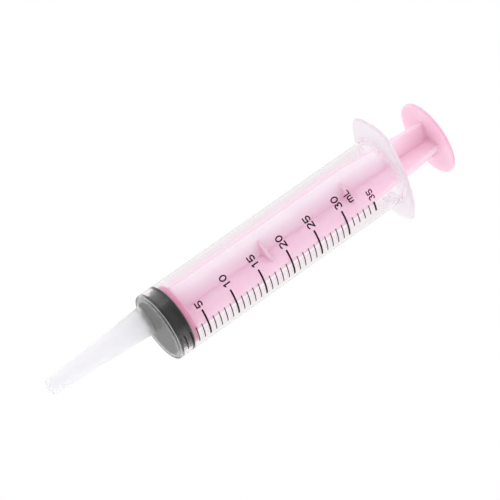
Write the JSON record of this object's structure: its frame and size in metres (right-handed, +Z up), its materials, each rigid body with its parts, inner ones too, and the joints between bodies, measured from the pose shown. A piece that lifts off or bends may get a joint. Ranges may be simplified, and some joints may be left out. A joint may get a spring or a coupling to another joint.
{
  "type": "oral syringe",
  "caption": "Catheter-tip oral syringe: clear graduated barrel with an offset tapered nozzle and oval finger flange, grey sealing gasket and pink ribbed plunger rod with a thumb disc.",
  "frame": {"origin": "on the barrel axis at the 0 mL plane, the inner face of the barrel's front wall", "axes": "+X along the barrel axis towards the nozzle's end, +Z up through the middle of the printed scale (the nozzle is offset towards -Z), +Y and -Y along the finger flange's wings"},
  "size_m": [0.1591, 0.0406, 0.0284],
  "materials": {
    "clear_polypropylene": "clear, faintly hazy natural polypropylene, glossy",
    "pink_polypropylene": "translucent pink polypropylene, satin gloss",
    "grey_rubber": "grey synthetic rubber, siliconised and slightly glossy",
    "printing_ink": "near-black maroon printing ink"
  },
  "bodies": {
    "barrel": {"barrel": "clear_polypropylene", "graduation_lines_major": "printing_ink", "graduation_lines_minor": "printing_ink", "graduation_numerals": "printing_ink", "unit_mark": "printing_ink"},
    "gasket": {"gasket": "grey_rubber"},
    "plunger": {"plunger_rod": "pink_polypropylene"}
  },
  "joints": [
    {"name": "plunger_slide", "type": "slide", "parent": "barrel", "child": "gasket", "axis": [-1, 0, 0], "range_m": [0, 0.09]},
    {"name": "plunger_turn", "type": "hinge", "parent": "gasket", "child": "plunger", "pos_m": [0, 0, 0], "axis": [1, 0, 0], "continuous": true}
  ]
}
